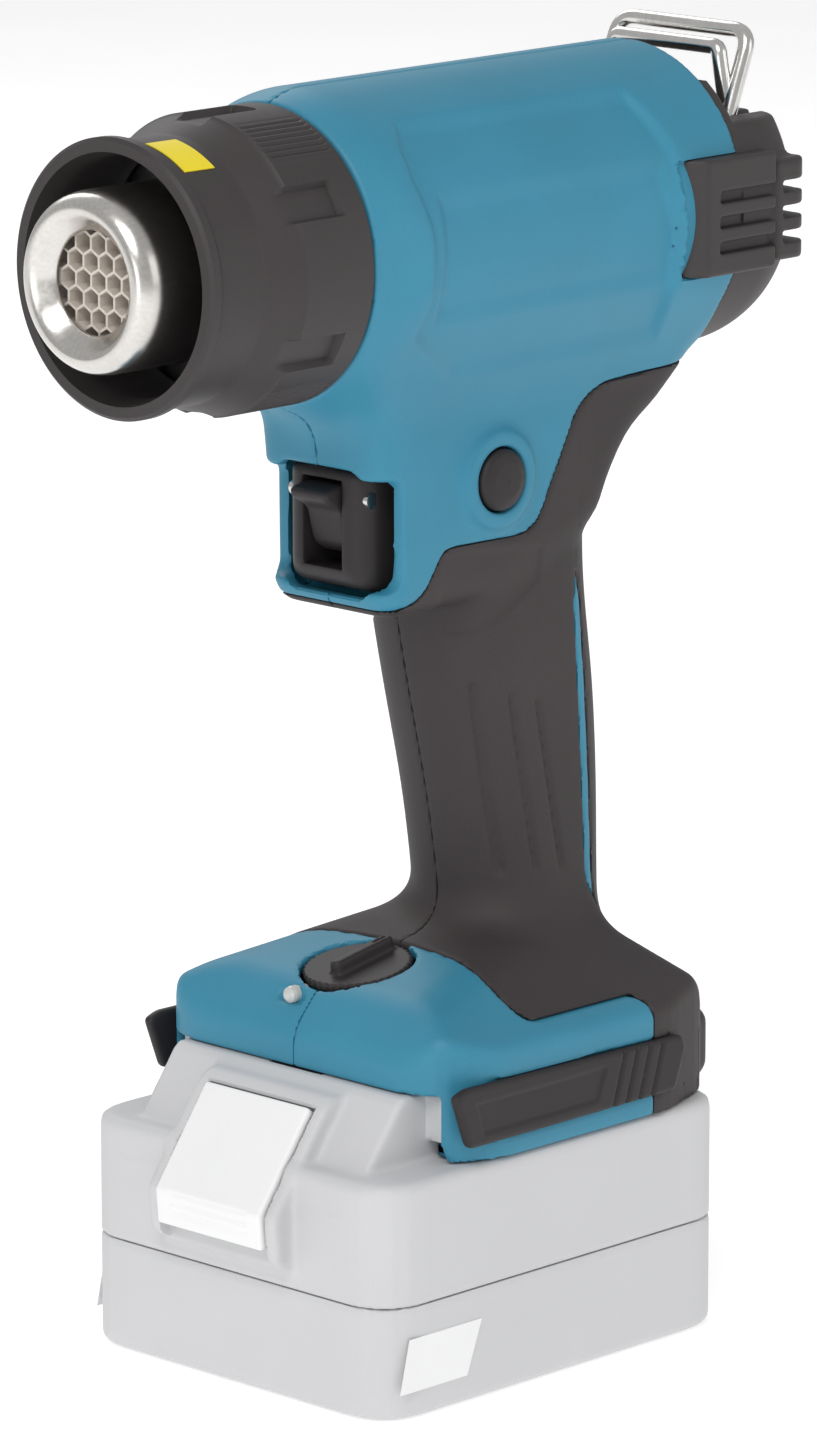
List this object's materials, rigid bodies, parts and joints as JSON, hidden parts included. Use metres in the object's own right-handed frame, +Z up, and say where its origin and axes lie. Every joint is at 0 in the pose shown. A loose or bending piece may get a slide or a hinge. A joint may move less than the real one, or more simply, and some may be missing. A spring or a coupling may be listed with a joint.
{
  "type": "cordless heat gun",
  "caption": "Cordless heat gun with pistol handle, removable nozzle protector, hanging hook and slide-on battery pack",
  "frame": {"origin": "centre of the battery pack's underside, the surface the tool stands on", "axes": "+X runs back along the air axis, the nozzle blows towards -X; +Y is the side of the right hand housing half; +Z is up"},
  "size_m": [0.1652, 0.0852, 0.2499],
  "materials": {
    "housing": "teal-blue glass-filled nylon, fine moulded texture",
    "grip_rubber": "dark grey overmoulded rubber, matt",
    "black_plastic": "black glass-filled plastic, fine grain",
    "dark_plastic": "plain black plastic",
    "white_plastic": "white plastic",
    "pack_plastic": "pale grey plastic",
    "steel": "plain steel",
    "nozzle_steel": "spun stainless steel, bright",
    "hook_steel": "bright zinc-plated steel wire",
    "cell_steel": "sleeved steel can",
    "brass": "plain brass",
    "heater_wire": "resistance wire",
    "ceramic": "unglazed ceramic",
    "mica": "pressed mica",
    "board": "green circuit board",
    "lead_red": "silicone-covered leads",
    "clear_lens": "clear lens",
    "yellow_label": "yellow foil label, blank",
    "white_label": "white foil label, blank"
  },
  "bodies": {
    "tool": {"left_housing": "housing", "right_housing": "housing", "left_grip": "grip_rubber", "right_grip": "grip_rubber", "rear_cover": "black_plastic", "left_vent_guard": "black_plastic", "right_vent_guard": "black_plastic", "nose_ring": "steel", "nozzle": "nozzle_steel", "honeycomb_core": "ceramic", "mica_sleeve": "mica", "heater_tube": "steel", "mica_former": "mica", "heating_coil": "heater_wire", "thermal_fuse": "steel", "air_duct": "dark_plastic", "motor_mount": "dark_plastic", "motor_can": "steel", "motor_bushes": "brass", "fan_shroud": "dark_plastic", "hook_bracket": "steel", "trigger_spring": "steel", "switch_body": "dark_plastic", "lock_button_spring": "steel", "control_board": "board", "dial_pot": "dark_plastic", "led_lamp": "white_plastic", "led_lens": "clear_lens", "terminal_block": "dark_plastic", "terminal_blades": "brass", "left_foot_bumper": "grip_rubber", "right_foot_bumper": "grip_rubber", "housing_screws": "steel", "cover_screws": "steel", "internal_leads": "lead_red"},
    "protector": {"protector": "black_plastic", "warning_label": "yellow_label"},
    "rotor": {"motor_armature": "steel", "motor_shaft": "steel", "fan_impeller": "dark_plastic"},
    "hook": {"hook": "hook_steel"},
    "trigger": {"trigger": "black_plastic", "lever_pin": "steel", "switch_plunger": "steel"},
    "lever": {"lock_off_lever": "dark_plastic"},
    "lock_button": {"lock_button": "black_plastic"},
    "dial": {"temperature_dial": "black_plastic"},
    "battery": {"battery_upper_case": "pack_plastic", "battery_lower_case": "pack_plastic", "battery_cells": "cell_steel", "battery_terminals": "brass", "battery_board": "board", "battery_label": "white_label", "release_spring": "steel"},
    "release_button": {"release_button": "white_plastic", "release_latch": "dark_plastic"}
  },
  "joints": [
    {"name": "protector_twist", "type": "hinge", "parent": "tool", "child": "protector", "pos_m": [-0.05, 0, 0.2165], "axis": [1, 0, 0], "range_deg": [0, 30]},
    {"name": "rotor_spin", "type": "hinge", "parent": "tool", "child": "rotor", "pos_m": [0.03, 0, 0.2165], "axis": [1, 0, 0], "continuous": true},
    {"name": "hook_fold", "type": "hinge", "parent": "tool", "child": "hook", "pos_m": [0.07, 0, 0.228], "axis": [0, 1, 0], "range_deg": [0, 60]},
    {"name": "trigger_pull", "type": "slide", "parent": "tool", "child": "trigger", "axis": [1, 0, 0], "range_m": [0, 0.006], "stiffness_N_per_m": 900, "deforming": ["trigger_spring"]},
    {"name": "lever_press", "type": "hinge", "parent": "trigger", "child": "lever", "pos_m": [-0.0198, 0, 0.1688], "axis": [0, 1, 0], "range_deg": [-12, 0], "stiffness_Nm_per_rad": 0.05},
    {"name": "lock_button_push", "type": "slide", "parent": "tool", "child": "lock_button", "axis": [0, 1, 0], "range_m": [0, 0.002], "stiffness_N_per_m": 800, "deforming": ["lock_button_spring"]},
    {"name": "dial_turn", "type": "hinge", "parent": "tool", "child": "dial", "pos_m": [-0.0134, 0, 0.07609], "axis": [-0.1736, 0, 0.9848], "range_deg": [0, 270]},
    {"name": "battery_slide", "type": "slide", "parent": "tool", "child": "battery", "axis": [-1, 0, 0], "range_m": [0, 0.09]},
    {"name": "release_press", "type": "slide", "parent": "battery", "child": "release_button", "axis": [0, 0, -1], "range_m": [0, 0.003], "stiffness_N_per_m": 900, "deforming": ["release_spring"]}
  ]
}
